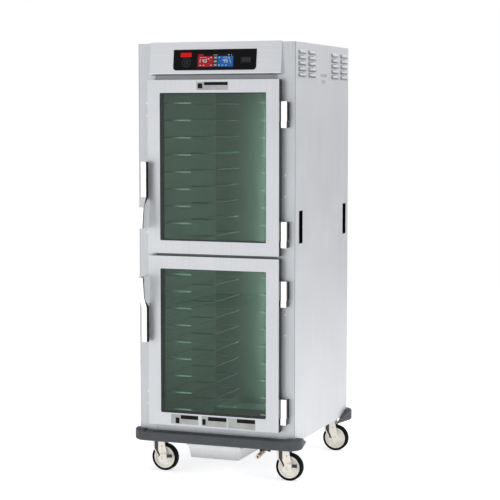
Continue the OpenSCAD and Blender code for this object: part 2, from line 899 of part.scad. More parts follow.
// Tyre with rounded shoulders
module tyre() {
    r = wheel_d / 2;
    shoulder = 4;
    color(BLACK) translate([caster_trail, 0, r]) rotate([90, 0, 0]) rotate_extrude($fn = 96) union() {
        translate([r - tyre_t, -tyre_w / 2]) square([tyre_t - shoulder, tyre_w]);
        translate([r - tyre_t, -tyre_w / 2 + shoulder]) square([tyre_t, tyre_w - 2 * shoulder]);
        for (s = [-1, 1]) translate([r - shoulder, s * (tyre_w / 2 - shoulder)]) circle(r = shoulder);
    }
}

// Foot brake of a front caster: bar beside the fork with a folded tread
module brake_pedal() {
    y = -fork_gap - fork_t - 9;
    axle_z = wheel_d / 2;
    color(DARK) {
        difference() {
            union() {
                block([caster_trail, y - 3, axle_z + 4], [caster_trail + 44, y, axle_z + 18]);
                translate([caster_trail, y, axle_z]) rotate([90, 0, 0]) cylinder(h = 3, r = 18);
            }
            translate([caster_trail, y + 5, axle_z]) rotate([90, 0, 0]) cylinder(h = 20, r = 9.4);
        }
        block([caster_trail + 22, y - 12, axle_z + 16], [caster_trail + 44, y, axle_z + 19]);
    }
}

module caster_fork_fl() { at_caster(-1, false) caster_fork(); }
module caster_fork_fr() { at_caster(1, false) caster_fork(); }
module caster_fork_bl() { at_caster(-1, true) caster_fork(); }
module caster_fork_br() { at_caster(1, true) caster_fork(); }
module wheel_hub_fl() { at_caster(-1, false) wheel_hub(); }
module wheel_hub_fr() { at_caster(1, false) wheel_hub(); }
module wheel_hub_bl() { at_caster(-1, true) wheel_hub(); }
module wheel_hub_br() { at_caster(1, true) wheel_hub(); }
module tyre_fl() { at_caster(-1, false) tyre(); }
module tyre_fr() { at_caster(1, false) tyre(); }
module tyre_bl() { at_caster(-1, true) tyre(); }
module tyre_br() { at_caster(1, true) tyre(); }
module brake_pedal_fl() { at_caster(-1, false) brake_pedal(); }
module brake_pedal_fr() { at_caster(1, false) brake_pedal(); }

// ---------------------------------------------------------------- underside and back

// Tapered tray, hollow, with a rim that hangs on the two rails
module drip_pan() {
    depth = pan_y[1] - pan_y[0];
    color("gainsboro") front_frame() {
        difference() {
            pan_solid(0);
            pan_solid(pan_wall);
            block([-200, -60, pan_z[1] - 0.01], [200, 300, pan_z[1] + 20]);
        }
        difference() {
            block([-pan_half_w - 8, pan_y[0], pan_z[1] - 5.5],
                  [pan_half_w + 8, pan_y[1], pan_z[1] - 3]);
            block([-pan_half_w + 3, pan_y[0] + 4, pan_z[1] - 9],
                  [pan_half_w - 3, pan_y[1] - 4, pan_z[1]]);
        }
    }
}

// Solid of the tray's outside, shrunk by t, and open upwards when t is over 0
module pan_solid(t) {
    slope = (pan_half_w - pan_floor_half_w) / (pan_z[1] - pan_z[0]);
    low = pan_z[0] + t;
    high = pan_z[1] + t;
    half_low = pan_floor_half_w - t + slope * t;
    half_high = pan_half_w - t + slope * t;
    intersection() {
        rotate([90, 0, 0]) translate([0, 0, -pan_y[1] + t]) linear_extrude(pan_y[1] - pan_y[0] - 2 * t)
            polygon([[-half_low, low], [half_low, low], [half_high, high], [-half_high, high]]);
        profile_x(-200, 200) polygon([
            [pan_y[0] + t + 8, low], [pan_y[1] - t - 8, low],
            [pan_y[1] - t, high], [pan_y[0] + t, high]
        ]);
    }
}

// Drain pipe, elbow and ball valve with its hose end
module drain_valve_body() {
    x = 215;
    y = 15;
    z = 128;
    color("tan") front_frame() difference() {
        union() {
            translate([x, y, z]) cylinder(h = body_bottom + 30 - z, r = 8.5);
            rod_x(x - 10, x + 10, y, z, 10);
            translate([x, y, z]) rotate([100, 0, 0]) {
                cylinder(h = 55, r = 8);
                translate([0, 0, 14]) cylinder(h = 18, r = 12, $fn = 6);
                translate([0, 0, 54]) cylinder(h = 14, r = 10.5);
            }
        }
        translate([x, y, z - 6]) cylinder(h = 110, r = 6);
        translate([x, y, z]) rotate([100, 0, 0]) cylinder(h = 80, r = 4.5);
    }
}

// Lever on the ball valve's stem
module drain_valve_handle() {
    color(BLACK) front_frame() translate([215, 15, 128]) rotate([10, 0, 0]) translate([0, -23, 12.5]) {
        cylinder(h = 5, r = 6);
        block([0, -5, 2], [44, 5, 5]);
        block([34, -5, -1], [44, 5, 5]);
    }
}

// Recessed appliance inlet at the top of the back
module power_inlet() {
    x = -250;
    z = 1850;
    color(BLACK) front_frame() {
        difference() {
            block([x - 24, body_d, z - 17], [x + 24, body_d + 12, z + 17]);
            block([x - 18, body_d + 2, z - 11], [x + 18, body_d + 20, z + 11]);
        }
        for (dx = [-9, 0, 9]) block([x + dx - 1, body_d + 1, z - 3], [x + dx + 1, body_d + 9, z + 4]);
    }
}

// Plugs in the unused hinge and strike holes, and the screws of the back panel
module fasteners() {
    plug_r = 4.5;
    color(POLISHED) front_frame() {
        for (z = concat(upper_hinge_z, lower_hinge_z), dz = [53, 107])
            rod_y(-1.6, 0, -328, z + dz, plug_r);
        for (z = [1254, 1345, 649, 739]) rod_y(-1.6, 0, 322, z, plug_r);
        both_sides() for (y = roof_screw_y)
            translate([half_w - 12, y, body_top]) cylinder(h = 2.5, r = plug_r);
        for (x = [-340, 0, 340], z = [210, 640, 1070, 1500, 1880])
            rod_y(body_d, body_d + 2, x, z, plug_r);
    }
}

side_panel_left();
side_panel_right();
back_panel();
roof_panel();
base_pan();
face_frame();
header_fascia();
wall_insulation();
liner_walls();
air_panels();
wire_slides();
side_louvers();
grip_cups();
control_bezel();
display_module();
control_electronics();
blower_housing();
heating_element();
water_pan();
bumpers();
frame_hardware();
caster_plates();
drain_valve_body();
power_inlet();
fasteners();
blower_wheel();
power_button();
usb_cover();
drip_pan();
drain_valve_handle();
upper_door_face();
upper_door_core();
upper_door_glass();
upper_door_seals();
upper_hinge_leaves();
upper_latch_base();
upper_latch_lever();
upper_latch_bolt();
lower_door_face();
lower_door_core();
lower_door_glass();
lower_door_seals();
lower_hinge_leaves();
lower_latch_base();
lower_latch_lever();
lower_latch_bolt();
caster_fork_fl();
caster_fork_fr();
caster_fork_bl();
caster_fork_br();
wheel_hub_fl();
wheel_hub_fr();
wheel_hub_bl();
wheel_hub_br();
tyre_fl();
tyre_fr();
tyre_bl();
tyre_br();
brake_pedal_fl();
brake_pedal_fr();
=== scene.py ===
import math

import bmesh
import bpy
from mathutils import Matrix, Vector


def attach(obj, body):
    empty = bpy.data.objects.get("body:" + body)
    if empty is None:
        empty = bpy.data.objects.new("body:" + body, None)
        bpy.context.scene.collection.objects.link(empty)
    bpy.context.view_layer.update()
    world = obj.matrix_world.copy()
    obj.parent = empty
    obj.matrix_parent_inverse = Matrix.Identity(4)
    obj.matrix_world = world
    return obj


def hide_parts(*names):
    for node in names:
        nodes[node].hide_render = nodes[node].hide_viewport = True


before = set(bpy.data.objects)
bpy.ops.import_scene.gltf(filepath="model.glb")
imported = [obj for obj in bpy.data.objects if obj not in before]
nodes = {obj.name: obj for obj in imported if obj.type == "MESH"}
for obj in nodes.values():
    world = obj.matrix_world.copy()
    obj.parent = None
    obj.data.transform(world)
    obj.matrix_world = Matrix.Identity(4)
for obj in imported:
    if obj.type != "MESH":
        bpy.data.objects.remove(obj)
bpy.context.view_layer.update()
scene = bpy.context.scene
MM = 0.001
FRONT_Y = -0.344  # plane of the door frame, in metres
HALF_W = 367.5  # half the width of the body, in millimetres
# In front of this depth the slide wire gets its painted glint.
SLIDE_FRONT_DEPTH = 0.1225  # the slides' front bars end this far behind the door frame
# The frame's top and middle rails get a darker copy of the frame steel: painted shade in the slots above
# and between the doors.
TOP_RAIL_Z = 1.70  # the frame's top rail lies above this height
MIDDLE_RAIL_Z = (0.95, 1.03)
CASTER_Y = {"f": 0.048, "b": 0.726}  # swivel axes behind the door frame
CASTER_X = {"l": -0.298, "r": 0.298}
# The dark strip on the fork arms is painted shade of a groove.
FORK_STRIP_Y = 0.0196  # faces of the fork arms with a dark strip, from the swivel axis
PEDAL_DISC_X = 0.050  # the brake pedal is pale like the hub up to here, from the swivel axis


# ---------------------------------------------------------------- node helpers

class Nodes:
    """Small helper that builds one Principled material out of procedural nodes."""

    def __init__(self, name, color, rough, metal=0.0, **extra):
        self.mat = bpy.data.materials.new(name)
        self.mat.use_nodes = True
        self.tree = self.mat.node_tree
        self.bsdf = self.tree.nodes["Principled BSDF"]
        self.color = color
        self.bsdf.inputs["Base Color"].default_value = (*color, 1.0)
        self.bsdf.inputs["Roughness"].default_value = rough
        self.bsdf.inputs["Metallic"].default_value = metal
        for key, value in extra.items():
            self.bsdf.inputs[key.replace("_", " ")].default_value = value
        self.coord = self.add("ShaderNodeTexCoord").outputs["Object"]

    def add(self, kind, **settings):
        node = self.tree.nodes.new(kind)
        for key, value in settings.items():
            setattr(node, key, value)
        return node

    def link(self, a, b):
        self.tree.links.new(a, b)

    def noise(self, scale, stretch=(1, 1, 1), detail=3.0, rough=0.55):
        mapping = self.add("ShaderNodeMapping")
        mapping.inputs["Scale"].default_value = [scale * s for s in stretch]
        self.link(self.coord, mapping.inputs["Vector"])
        tex = self.add("ShaderNodeTexNoise")
        tex.inputs["Scale"].default_value = 1.0
        tex.inputs["Detail"].default_value = detail
        tex.inputs["Roughness"].default_value = rough
        self.link(mapping.outputs["Vector"], tex.inputs["Vector"])
        return tex.outputs["Fac"]

    def span(self, value, low, high, from_low=0.3, from_high=0.7):
        """Maps a 0..1 texture to low..high."""
        node = self.add("ShaderNodeMapRange")
        node.inputs["From Min"].default_value = from_low
        node.inputs["From Max"].default_value = from_high
        node.inputs["To Min"].default_value = low
        node.inputs["To Max"].default_value = high
        self.link(value, node.inputs["Value"])
        return node.outputs["Result"]

    def math(self, operation, a, b):
        node = self.add("ShaderNodeMath", operation=operation)
        for socket, value in zip(node.inputs, (a, b)):
            if isinstance(value, (int, float)):
                socket.default_value = value
            else:
                self.link(value, socket)
        return node.outputs["Value"]

    def ramp(self, value, dark, light):
        """Colour between two shades of the base colour."""
        node = self.add("ShaderNodeMix", data_type="RGBA")
        node.inputs["A"].default_value = (*[min(1, c * dark) for c in self.color], 1)
        node.inputs["B"].default_value = (*[min(1, c * light) for c in self.color], 1)
        self.link(value, node.inputs["Factor"])
        return node.outputs["Result"]

    def set_color(self, socket):
        self.link(socket, self.bsdf.inputs["Base Color"])

    def set_rough(self, socket):
        self.link(socket, self.bsdf.inputs["Roughness"])

    def bump(self, height, strength, distance, normal=None):
        node = self.add("ShaderNodeBump")
        node.inputs["Strength"].default_value = strength
        node.inputs["Distance"].default_value = distance
        self.link(height, node.inputs["Height"])
        if normal is not None:
            self.link(normal, node.inputs["Normal"])
        self.link(node.outputs["Normal"], self.bsdf.inputs["Normal"])
        return node.outputs["Normal"]


def brushed(name, color, rough, grain, metal=1.0, amount=1.0):
    """Sheet steel with fine grain along one axis, broad faint streaks and handling smudges."""
    n = Nodes(name, color, rough, metal)
    along = {"X": (0.02, 1, 1), "Y": (1, 0.02, 1), "Z": (1, 1, 0.02)}[grain]
    fine = n.noise(1400, along, detail=2)
    streak = n.noise(120, along, detail=4, rough=0.7)
    cloud = n.noise(2.4, (1, 1, 1), detail=4)
    smudge = n.noise(9, (1, 1, 0.7), detail=5, rough=0.65)
    shade = n.math("ADD", n.math("MULTIPLY", streak, 0.6), n.math("MULTIPLY", cloud, 0.4))
    n.set_color(n.ramp(n.span(shade, 0, 1, 0.36, 0.64), 1 - 0.055 * amount, 1 + 0.045 * amount))
    r = n.math("ADD", n.span(streak, rough - 0.035, rough + 0.035), n.span(smudge, -0.02, 0.05, 0.45, 0.75))
    n.set_rough(n.math("ADD", r, n.span(fine, -0.03, 0.03)))
    n.bump(n.math("ADD", fine, n.math("MULTIPLY", streak, 0.5)), 0.10 * amount, 0.0004)
    return n.mat


def polished(name, color, rough, metal=1.0):
    """Polished plating with very faint swirl marks."""
    n = Nodes(name, color, rough, metal)
    swirl = n.noise(260, detail=3)
    cloud = n.noise(35, detail=3)
    n.set_rough(n.span(swirl, rough * 0.7, rough * 1.5))
    n.set_color(n.ramp(n.span(cloud, 0, 1), 0.95, 1.03))
    n.bump(swirl, 0.04, 0.0002)
    return n.mat


def moulded(name, color, rough, grain_scale=900, depth=0.12, metal=0.0, **extra):
    """Moulded plastic or rubber with a fine pebbled skin and slight wear."""
    n = Nodes(name, color, rough, metal, **extra)
    pebble = n.noise(grain_scale, detail=2)
    cloud = n.noise(22, detail=4)
    scuff = n.noise(75, (1, 1, 2.5), detail=5, rough=0.7)
    n.set_color(n.ramp(n.span(cloud, 0, 1), 0.86, 1.14))
    worn = n.span(scuff, -0.03, 0.06, 0.5, 0.8)
    n.set_rough(n.math("ADD", n.span(cloud, rough - 0.05, rough + 0.04), worn))
    n.bump(n.math("ADD", pebble, n.math("MULTIPLY", cloud, 0.5)), depth, 0.0005)
    return n.mat


def glowing(name, color, strength):
    """Lit pixels of the screen, with a faint pixel grid."""
    n = Nodes(name, color, 0.25)
    cell = n.noise(600, detail=1)
    n.set_color(n.ramp(n.span(cell, 0, 1), 0.92, 1.06))
    n.bsdf.inputs["Emission Color"].default_value = (*color, 1)
    n.bsdf.inputs["Specular IOR Level"].default_value = 0.25
    n.bsdf.inputs["Emission Strength"].default_value = strength
    return n.mat


# ---------------------------------------------------------------- materials

M = {}
M["side"] = brushed("side_steel", (0.72, 0.73, 0.75), 0.50, "Z", 0.55)
# Frame steel, darker than the door and header steel: painted shade for a frame seen only in the gaps around
# the doors.
M["front"] = brushed("front_steel_painted_shade", (0.56, 0.58, 0.60), 0.44, "Z", 0.75)
M["header"] = brushed("header_steel", (0.73, 0.74, 0.76), 0.42, "X", 0.75)
M["door"] = brushed("door_steel", (0.62, 0.63, 0.65), 0.42, "Z", 0.72)
M["liner"] = brushed("liner_steel", (0.50, 0.55, 0.53), 0.38, "Z", 0.85)
M["base"] = brushed("base_steel", (0.42, 0.43, 0.45), 0.5, "X", 0.8, 1.6)
# Dark slide wire so the rails stay dim: painted shade; the front bars get a lit, glowing copy.
M["wire"] = polished("slide_wire", (0.20, 0.23, 0.215), 0.55, 0.2)
M["air"] = brushed("air_panel_steel", (0.21, 0.24, 0.225), 0.55, "Z", 0.4)
M["polished"] = polished("hinge_polish", (0.93, 0.93, 0.93), 0.12)
M["lever"] = polished("lever_polish", (0.96, 0.96, 0.96), 0.20, 0.6)
M["case"] = brushed("latch_case", (0.80, 0.81, 0.82), 0.35, "Z", 0.5)
M["zinc"] = brushed("caster_zinc", (0.92, 0.86, 0.79), 0.40, "Z", 0.35, 1.5)
M["black"] = moulded("black_plastic", (0.004, 0.004, 0.005), 0.45, Specular_IOR_Level=0.08)
M["core"] = moulded("door_edge_plastic", (0.010, 0.011, 0.012), 0.5)
M["gasket"] = moulded("gasket_rubber", (0.010, 0.010, 0.010), 0.62, 500)
M["bumper"] = moulded("bumper_rubber", (0.053, 0.059, 0.067), 0.55, 420, 0.22)
M["tyre"] = moulded("tyre_rubber", (0.004, 0.004, 0.004), 0.8, 500, 0.25, Specular_IOR_Level=0.12)
M["hub"] = moulded("hub_plastic", (0.95, 0.89, 0.82), 0.42, 700, 0.08)
M["key"] = moulded("soft_key", (0.008, 0.008, 0.009), 0.5, 1200, 0.1, Specular_IOR_Level=0.15)
M["pedal"] = brushed("pedal_steel", (0.03, 0.03, 0.03), 0.4, "X", 0.5)
M["board"] = moulded("circuit_board", (0.02, 0.12, 0.05), 0.4, 260, 0.2)
M["galv"] = brushed("galvanised", (0.45, 0.47, 0.48), 0.45, "X", 0.85, 2)
M["element"] = brushed("heater_metal", (0.16, 0.14, 0.13), 0.45, "X", 0.8, 2)
M["wool"] = moulded("mineral_wool", (0.62, 0.52, 0.26), 0.95, 160, 0.8)
# Darker copy of the frame steel for the top and middle rails: painted shade.
M["rail"] = brushed("rail_painted_shade", (0.42, 0.43, 0.45), 0.50, "X", 0.6)
# Near-black polish for the right-facing sides of hinges: painted dark reflection.
M["painted_dark_side"] = polished("hinge_side_painted_reflection", (0.030, 0.033, 0.033), 0.40, 0.5)
M["strip"] = moulded("fork_strip_painted_shade", (0.045, 0.05, 0.05), 0.5)
# Louvre hoods in a darker copy of the side steel: painted shade.
M["louvre"] = brushed("louvre_steel_painted_shade", (0.42, 0.43, 0.45), 0.30, "Y", 0.85)
M["label"] = moulded("blank_label", (0.40, 0.41, 0.40), 0.5, 300, 0.05)
M["label_bar"] = moulded("blank_label_bar", (0.008, 0.008, 0.008), 0.5, 300, 0.05, Specular_IOR_Level=0.1)
M["brass"] = brushed("valve_brass", (0.60, 0.50, 0.40), 0.34, "Y", 0.8, 2)


def screen_material():
    n = Nodes("screen_glass", (0.004, 0.004, 0.006), 0.12, Specular_IOR_Level=0.1)
    n.set_rough(n.span(n.noise(60, detail=4), 0.09, 0.2))
    n.set_color(n.ramp(n.span(n.noise(300, detail=1), 0, 1), 0.8, 1.2))
    return n.mat


M["screen"] = screen_material()


def slide_front_material():
    """Drawn wire, a lighter copy of the slide wire, whose inner end glows: a painted glint in place of the
    light that a real bar reflects there.
    """
    n = Nodes("slide_front_painted_glint", (0.62, 0.80, 0.70), 0.36, 0.3)
    sep = n.add("ShaderNodeSeparateXYZ")
    n.link(n.coord, sep.inputs["Vector"])
    inner = n.span(n.math("ABSOLUTE", sep.outputs["X"], 0), 0.0, 1.0, 0.255, 0.218)
    glint = n.math("MULTIPLY", inner, n.span(n.noise(90, detail=3), 0.8, 1.1))
    n.set_color(n.ramp(glint, 0.5, 1.1))
    n.bsdf.inputs["Emission Color"].default_value = (0.50, 0.80, 0.62, 1)
    n.link(n.math("MULTIPLY", glint, 1.1), n.bsdf.inputs["Emission Strength"])
    n.set_rough(n.span(n.noise(400, (0.1, 1, 1)), 0.3, 0.42))
    return n.mat


M["wire_front_painted_glint"] = slide_front_material()


def pan_material():
    """Milky plastic, a little darker where the tray is deep, as painted shade."""
    n = Nodes("pan_plastic", (0.72, 0.73, 0.74), 0.30)
    n.bsdf.inputs["Subsurface Weight"].default_value = 0.12
    n.bsdf.inputs["Subsurface Radius"].default_value = (0.01, 0.01, 0.01)
    n.bsdf.inputs["Subsurface Scale"].default_value = 0.2
    sep = n.add("ShaderNodeSeparateXYZ")
    n.link(n.coord, sep.inputs["Vector"])
    low = n.span(sep.outputs["Z"], 0.0, 1.0, 0.084, 0.135)
    cloud = n.noise(40, detail=4)
    shade = n.math("MULTIPLY", low, n.span(cloud, 0.85, 1.0))
    n.set_color(n.ramp(shade, 0.62, 1.12))
    n.set_rough(n.span(cloud, 0.25, 0.40))
    n.bump(n.noise(300, detail=2), 0.05, 0.0004)
    return n.mat


M["pan"] = pan_material()


def glass_material():
    """Tinted pane: thin green glass with wiping marks."""
    n = Nodes("pane_glass", (0.030, 0.052, 0.040), 0.04)
    n.bsdf.inputs["Alpha"].default_value = 0.30
    n.bsdf.inputs["IOR"].default_value = 1.5
    wipe = n.noise(14, (1, 1, 0.4), detail=5, rough=0.7)
    n.set_rough(n.span(wipe, 0.03, 0.06, 0.4, 0.8))
    n.set_color(n.ramp(n.span(n.noise(1.8, detail=3), 0, 1), 0.93, 1.07))
    return n.mat


M["glass"] = glass_material()
M["red"] = glowing("screen_red", (0.30, 0.003, 0.010), 0.22)
M["blue"] = glowing("screen_blue", (0.003, 0.085, 0.30), 0.26)
M["white"] = glowing("screen_white", (0.55, 0.57, 0.60), 0.30)
M["grey"] = glowing("screen_grey", (0.10, 0.115, 0.11), 0.22)
M["badge"] = moulded("badge_red", (0.72, 0.006, 0.012), 0.5, 900, 0.05, Specular_IOR_Level=0.1)
M["icon"] = moulded("key_print", (0.055, 0.055, 0.06), 0.45, 900, 0.05, Specular_IOR_Level=0.2)

BY_NODE = {
    "side_panel_left": "side", "side_panel_right": "side", "back_panel": "side",
    "roof_panel": "side", "side_louvers": "side", "base_pan": "base",
    "face_frame": "front", "header_fascia": "header", "wall_insulation": "wool",
    "liner_walls": "liner", "air_panels": "air", "wire_slides": "wire", "grip_cups": "black",
    "control_bezel": "black", "display_module": "screen", "control_electronics": "board",
    "blower_housing": "galv", "heating_element": "element", "water_pan": "liner",
    "bumpers": "bumper", "frame_hardware": "polished",
    "caster_plates": "zinc", "drain_valve_body": "brass", "power_inlet": "black",
    "fasteners": "case", "blower_wheel": "galv", "power_button": "key",
    "usb_cover": "key", "drip_pan": "pan", "drain_valve_handle": "black",
    "brake_pedal_fl": "pedal", "brake_pedal_fr": "pedal",
}
for door in ("upper", "lower"):
    BY_NODE[door + "_door_face"] = "door"
    BY_NODE[door + "_door_core"] = "core"
    BY_NODE[door + "_door_glass"] = "glass"
    BY_NODE[door + "_door_seals"] = "gasket"
    BY_NODE[door + "_hinge_leaves"] = "polished"
    BY_NODE[door + "_latch_base"] = "case"
    BY_NODE[door + "_latch_lever"] = "lever"
    BY_NODE[door + "_latch_bolt"] = "lever"
for corner in ("fl", "fr", "bl", "br"):
    BY_NODE["caster_fork_" + corner] = "zinc"
    BY_NODE["wheel_hub_" + corner] = "hub"
    BY_NODE["tyre_" + corner] = "tyre"

BEVEL = {
    "upper_door_face": 1.2, "lower_door_face": 1.2, "header_fascia": 1.2,
    "side_panel_left": 0.6, "side_panel_right": 0.6, "control_bezel": 0.6,
    "display_module": 0.3, "upper_latch_lever": 1.6, "lower_latch_lever": 1.6,
    "upper_latch_base": 1.5, "lower_latch_base": 1.5, "upper_hinge_leaves": 0.9,
    "lower_hinge_leaves": 0.9, "frame_hardware": 0.8, "grip_cups": 0.5,
    "caster_fork_fl": 0.5, "caster_fork_fr": 0.5, "caster_fork_bl": 0.5,
    "caster_fork_br": 0.5, "fasteners": 0.4, "power_inlet": 0.6, "drip_pan": 0.6,
    "brake_pedal_fl": 0.5, "brake_pedal_fr": 0.5, "drain_valve_handle": 0.7,
    "face_frame": 0.4, "roof_panel": 0.4, "back_panel": 0.4, "usb_cover": 0.4,
}


def shade_by_angle(obj, degrees=32):
    """Smooth faces with sharp edges where two faces meet at more than the angle."""
    mesh = obj.data
    mesh.polygons.foreach_set("use_smooth", [True] * len(mesh.polygons))
    bm = bmesh.new()
    bm.from_mesh(mesh)
    sharp = [len(e.link_faces) != 2 or e.calc_face_angle(0) > math.radians(degrees) for e in bm.edges]
    bm.free()
    for edge, hard in zip(mesh.edges, sharp):
        edge.use_edge_sharp = hard


def soften(obj, width, segments=2):
    """Rounds the hard edges of a finished mesh."""
    mod = obj.modifiers.new("Edge", "BEVEL")
    mod.width = width * MM
    mod.segments = segments
    mod.limit_method = "ANGLE"
    mod.angle_limit = math.radians(40)
    mod.harden_normals = False
    mod.use_clamp_overlap = True


def second_material(obj, material, test):
    """Gives a second material to the faces that pass the test."""
    obj.data.materials.append(M[material])
    index = len(obj.data.materials) - 1
    for face in obj.data.polygons:
        if test(face.center, face.normal):
            face.material_index = index


def split_faces(name, obj):
    """Second materials on parts of one piece: the dark sides of levers and hinges are painted dark
    reflection, standing for what polished metal reflects, the levers' also painted shade; the frame rails
    and the fork arms' strips are painted shade, the slides' front bars a painted glint, and the brake
    pedal's disc is pale like the hub.
    """
    if name.endswith("latch_lever"):
        # Lever faces that face neither the front nor the left get black plastic: painted shade and painted
        # dark reflection.
        second_material(obj, "black", lambda c, n: n.y > -0.35 and n.x > -0.5)
    elif name.endswith("hinge_leaves") or name == "frame_hardware":
        # Right-facing sides of hinges and frame hardware are dark: painted dark reflection.
        second_material(obj, "painted_dark_side", lambda c, n: n.x > 0.5)
    elif name == "wire_slides":
        # The slides' front bars get the lighter, glowing wire: painted glint.
        second_material(obj, "wire_front_painted_glint", lambda c, n: c.y < FRONT_Y + SLIDE_FRONT_DEPTH)
    elif name == "face_frame":
        # Top and middle rails get the darker rail steel: painted shade.
        low, high = MIDDLE_RAIL_Z
        second_material(obj, "rail", lambda c, n: c.z > TOP_RAIL_Z or low < c.z < high)
    elif name.startswith("caster_fork"):
        # Dark strips on the fork arms: painted shade of a groove.
        mid = FRONT_Y + CASTER_Y[name[-2]]
        second_material(obj, "strip", lambda c, n: (
            abs(n.y) > 0.9 and abs(abs(c.y - mid) - FORK_STRIP_Y) < 0.0002))
    elif name.startswith("brake_pedal"):
        edge = CASTER_X[name[-1]] + PEDAL_DISC_X
        second_material(obj, "hub", lambda c, n: c.x < edge)


def finish_node(name, obj):
    """Material, shading and rounded edges of one CAD piece."""
    material = M[BY_NODE[name]]
    if not obj.material_slots:
        obj.data.materials.append(material)
    for material_slot in obj.material_slots:
        material_slot.material = material
    split_faces(name, obj)
    shade_by_angle(obj)
    if name in BEVEL:
        soften(obj, BEVEL[name])


for name, obj in nodes.items():
    finish_node(name, obj)


# ---------------------------------------------------------------- drawn pieces

def new_object(name, mesh, material, body):
    """A drawn piece with its material, riding on a body."""
    obj = bpy.data.objects.new(name, mesh)
    scene.collection.objects.link(obj)
    obj.data.materials.append(M[material])
    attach(obj, body)
    return obj


def plate(bm, x0, x1, z0, z1, y0, y1, radius=0.0, steps=4):
    """Rounded rectangle in X-Z, extruded from y0 to y1 in the local frame."""
    r = min(radius, (x1 - x0) / 2, (z1 - z0) / 2)
    points = []
    corners = ((x1 - r, z1 - r, 0), (x0 + r, z1 - r, 90), (x0 + r, z0 + r, 180), (x1 - r, z0 + r, 270))
    for cx, cz, start in corners:
        count = steps if r > 0 else 0
        for i in range(count + 1):
            a = math.radians(start + (90 * i / count if count else 0))
            points.append((cx + r * math.cos(a), cz + r * math.sin(a)))
    front = [bm.verts.new((x, y0, z)) for x, z in points]
    back = [bm.verts.new((x, y1, z)) for x, z in points]
    bm.faces.new(front)
    bm.faces.new(list(reversed(back)))
    for i in range(len(points)):
        j = (i + 1) % len(points)
        bm.faces.new((front[j], front[i], back[i], back[j]))


def finish_mesh(bm, name, matrix=None):
    """Mesh in metres from a bmesh drawn in millimetres, put in place by the matrix."""
    bmesh.ops.recalc_face_normals(bm, faces=bm.faces)
    mesh = bpy.data.meshes.new(name)
    bm.to_mesh(mesh)
    bm.free()
    mesh.transform(Matrix.Scale(MM, 4))
    if matrix is not None:
        mesh.transform(matrix)
    return mesh


HEADER_TOP = 1923
HEADER_SLOPE = 18.0 / 135.0  # how far the header leans back for its height
TILT = math.atan(HEADER_SLOPE)
PANEL_Z = 1845.0
PANEL_Y = 2 + HEADER_SLOPE * (HEADER_TOP - PANEL_Z)
HEADER = Matrix.Translation((0, FRONT_Y - PANEL_Y * MM, PANEL_Z * MM)) @ Matrix.Rotation(-TILT, 4, "X")


def header_plates(name, boxes, y0, y1, material, radius=1.5, body="cabinet"):
    """Thin rounded plates on the header's sloping face, in millimetres."""
    bm = bmesh.new()
    for x0, x1, z0, z1 in boxes:
        plate(bm, x0, x1, z0, z1, y0, y1, radius)
    return new_object(name, finish_mesh(bm, name, HEADER), material, body)


SCREEN_Y = -2.65
TILE_Y = (SCREEN_Y - 0.25, SCREEN_Y + 0.2)
MARK_Y = (SCREEN_Y - 0.5, SCREEN_Y - 0.2)
ICON_ROWS = (-30, -14, 2)
header_plates("screen_tile_red", [(-77, -6.5, -31.5, 14.5)], *TILE_Y, "red", 1)
header_plates("screen_tile_blue", [(17, 87, -31.5, 14.5)], *TILE_Y, "blue", 1)
header_plates("screen_tab", [(-77, -52, 17.5, 24.0)], *TILE_Y, "red", 1)
header_plates("screen_icons", [(-4, 14.5, z, z + 12) for z in ICON_ROWS], *TILE_Y, "grey", 2)


def screen_marks():
    """Blank strokes where the screen has its small print."""
    marks = [(-5, 0, 19.0, 20.4), (1.2, 6, 19.0, 20.4), (7.4, 14, 19.0, 20.4)]
    marks += [(64, 69, 18.5, 21.5), (77, 79, 18.5, 21.5)]
    marks += [(x, x + 9, 8.8, 10.2) for x in (-68, -57, -46, 40, 51, 62)]
    marks += [(x, x + 5, z, z + 4) for x in (-18, 20) for z in (7, -27)]
    marks += [(x, x + 5, -26.5, -23.5) for x in (-68, -52, 36, 52)]
    marks += [(0.5, 10, z + 4, z + 5.4) for z in ICON_ROWS]
    marks += [(2, 8.5, z + 7, z + 8.2) for z in ICON_ROWS]
    header_plates("screen_marks", marks, *MARK_Y, "white", 0.4)


screen_marks()

SEGMENTS = {"0": "abcdef", "1": "bc", "4": "fgbc", "5": "afgcd"}


def digit_boxes(char, x, z, w, h, t):
    """Strokes of one drawn numeral, as boxes."""
    m = z + h / 2
    parts = {
        "a": (x, x + w, z + h - t, z + h), "g": (x, x + w, m - t / 2, m + t / 2),
        "d": (x, x + w, z, z + t), "f": (x, x + t, m, z + h), "b": (x + w - t, x + w, m, z + h),
        "e": (x, x + t, z, m), "c": (x + w - t, x + w, z, m),
    }
    return [parts[k] for k in SEGMENTS[char]]


def screen_numbers():
    """Two large readings, a degree ring and a percent sign."""
    strokes = []
    for text, x0 in (("140", -70), ("45", 40)):
        for i, char in enumerate(text):
            x = x0 + i * 12.5 - (5 if char == "1" else 0)
            strokes += digit_boxes(char, x, -13, 9, 15, 1.7)
    strokes += [(-30, -25, 0.5, 1.8), (-30, -25, 4.6, 5.9), (-31, -29.6, 0.5, 5.9), (-25.4, -24, 0.5, 5.9)]
    strokes += [(68, 71, 0.5, 3.5), (75, 78, -15, -12), (72, 74, -9, -3)]
    header_plates("screen_numbers", strokes, *MARK_Y, "white", 0.4)


screen_numbers()


